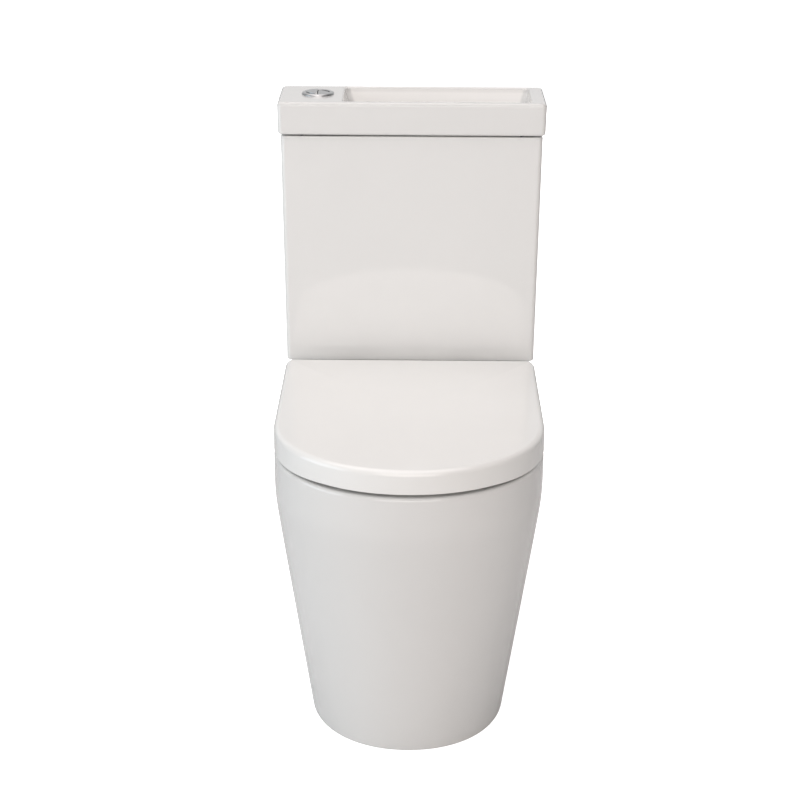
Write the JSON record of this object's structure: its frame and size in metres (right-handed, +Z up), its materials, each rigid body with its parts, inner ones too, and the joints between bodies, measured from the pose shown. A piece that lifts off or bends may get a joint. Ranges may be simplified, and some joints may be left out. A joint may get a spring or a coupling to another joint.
{
  "type": "toilet with basin on the cistern",
  "caption": "Back-to-wall close-coupled toilet with soft-close seat and a dual-flush cistern whose cover is a small hand basin beside the push button.",
  "frame": {"origin": "on the floor, on the centre line, halfway between the front of the seat and the wall", "axes": "+X to the right seen from the front, +Y towards the wall, +Z up"},
  "size_m": [0.3798, 0.6, 0.818],
  "materials": {
    "ceramic": "white glazed vitreous china, opaque and glossy",
    "seat": "glossy moulded thermoset",
    "rubber": "matt",
    "chrome": "polished",
    "steel": "satin stainless",
    "white_plastic": "satin",
    "grey_plastic": "satin",
    "blue_plastic": "satin"
  },
  "bodies": {
    "fixed": {"pan": "ceramic", "floor_brackets": "white_plastic", "bracket_screws": "steel", "screw_caps": "white_plastic", "hinge_posts": "chrome", "hinge_pins": "steel", "hinge_bolts": "steel", "hinge_washers": "rubber", "hinge_wing_nuts": "white_plastic", "cistern_body": "ceramic", "coupling_gasket": "rubber", "coupling_bolts": "steel", "coupling_washers": "rubber", "coupling_wing_nuts": "white_plastic", "flush_valve_body": "white_plastic", "flush_valve_washer": "rubber", "flush_valve_backnut": "white_plastic", "lever_pivot_pin": "steel", "inlet_valve": "white_plastic", "inlet_washer": "rubber", "inlet_backnut": "white_plastic", "blanking_plug": "white_plastic", "blanking_plug_nut": "white_plastic", "cover_pads": "rubber"},
    "lid": {"seat_lid": "seat", "lid_damper": "grey_plastic", "lid_bush": "white_plastic"},
    "ring": {"seat_ring": "seat", "ring_damper": "grey_plastic", "ring_bush": "white_plastic", "lid_buffers": "rubber", "ring_buffers": "rubber"},
    "cover": {"basin_cover": "ceramic", "basin_waste": "chrome", "basin_waste_gasket": "rubber", "basin_waste_nut": "white_plastic", "button_bezel": "chrome", "button_locknut": "white_plastic"},
    "half_button": {"half_flush_button": "chrome", "half_flush_spring": "steel"},
    "full_button": {"full_flush_button": "chrome", "full_flush_spring": "steel"},
    "half_lever": {"half_flush_lever": "blue_plastic"},
    "full_lever": {"full_flush_lever": "blue_plastic"},
    "canister": {"flush_canister": "blue_plastic", "canister_seal": "rubber"},
    "half_sleeve": {"half_flush_sleeve": "blue_plastic"},
    "float": {"inlet_float": "grey_plastic"}
  },
  "joints": [
    {"name": "seat_lid_hinge", "type": "hinge", "parent": "fixed", "child": "lid", "pos_m": [0, 0.124, 0.427], "axis": [-1, 0, 0], "range_deg": [0, 93]},
    {"name": "seat_ring_hinge", "type": "hinge", "parent": "fixed", "child": "ring", "pos_m": [0, 0.124, 0.427], "axis": [-1, 0, 0], "range_deg": [0, 93]},
    {"name": "cover_lift", "type": "slide", "parent": "fixed", "child": "cover", "axis": [0, 0, 1], "range_m": [0, 0.1]},
    {"name": "half_button_press", "type": "slide", "parent": "cover", "child": "half_button", "axis": [0, 0, -1], "range_m": [0, 0.008], "stiffness_N_per_m": 150, "springref_m": -0.004, "deforming": ["half_flush_spring"]},
    {"name": "full_button_press", "type": "slide", "parent": "cover", "child": "full_button", "axis": [0, 0, -1], "range_m": [0, 0.008], "stiffness_N_per_m": 150, "springref_m": -0.004, "deforming": ["full_flush_spring"]},
    {"name": "half_lever_pivot", "type": "hinge", "parent": "fixed", "child": "half_lever", "pos_m": [-0.1, 0.235, 0.643], "axis": [0, -1, 0], "range_deg": [0, 10.7]},
    {"name": "full_lever_pivot", "type": "hinge", "parent": "fixed", "child": "full_lever", "pos_m": [-0.1, 0.235, 0.643], "axis": [0, -1, 0], "range_deg": [0, 17]},
    {"name": "canister_lift", "type": "slide", "parent": "fixed", "child": "canister", "axis": [0, 0, 1], "range_m": [0, 0.0234]},
    {"name": "half_sleeve_lift", "type": "slide", "parent": "fixed", "child": "half_sleeve", "axis": [0, 0, 1], "range_m": [0, 0.0148]},
    {"name": "float_rise", "type": "slide", "parent": "fixed", "child": "float", "axis": [0, 0, 1], "range_m": [0, 0.05]}
  ],
  "couplings": [
    {"joint": "seat_ring_hinge", "follows": "seat_lid_hinge", "ratio": 1},
    {"joint": "half_lever_pivot", "follows": "half_button_press", "rad_per_m": 23.256},
    {"joint": "full_lever_pivot", "follows": "full_button_press", "rad_per_m": 37.037},
    {"joint": "canister_lift", "follows": "full_button_press", "ratio": 2.8889},
    {"joint": "half_sleeve_lift", "follows": "half_button_press", "ratio": 1.814}
  ]
}
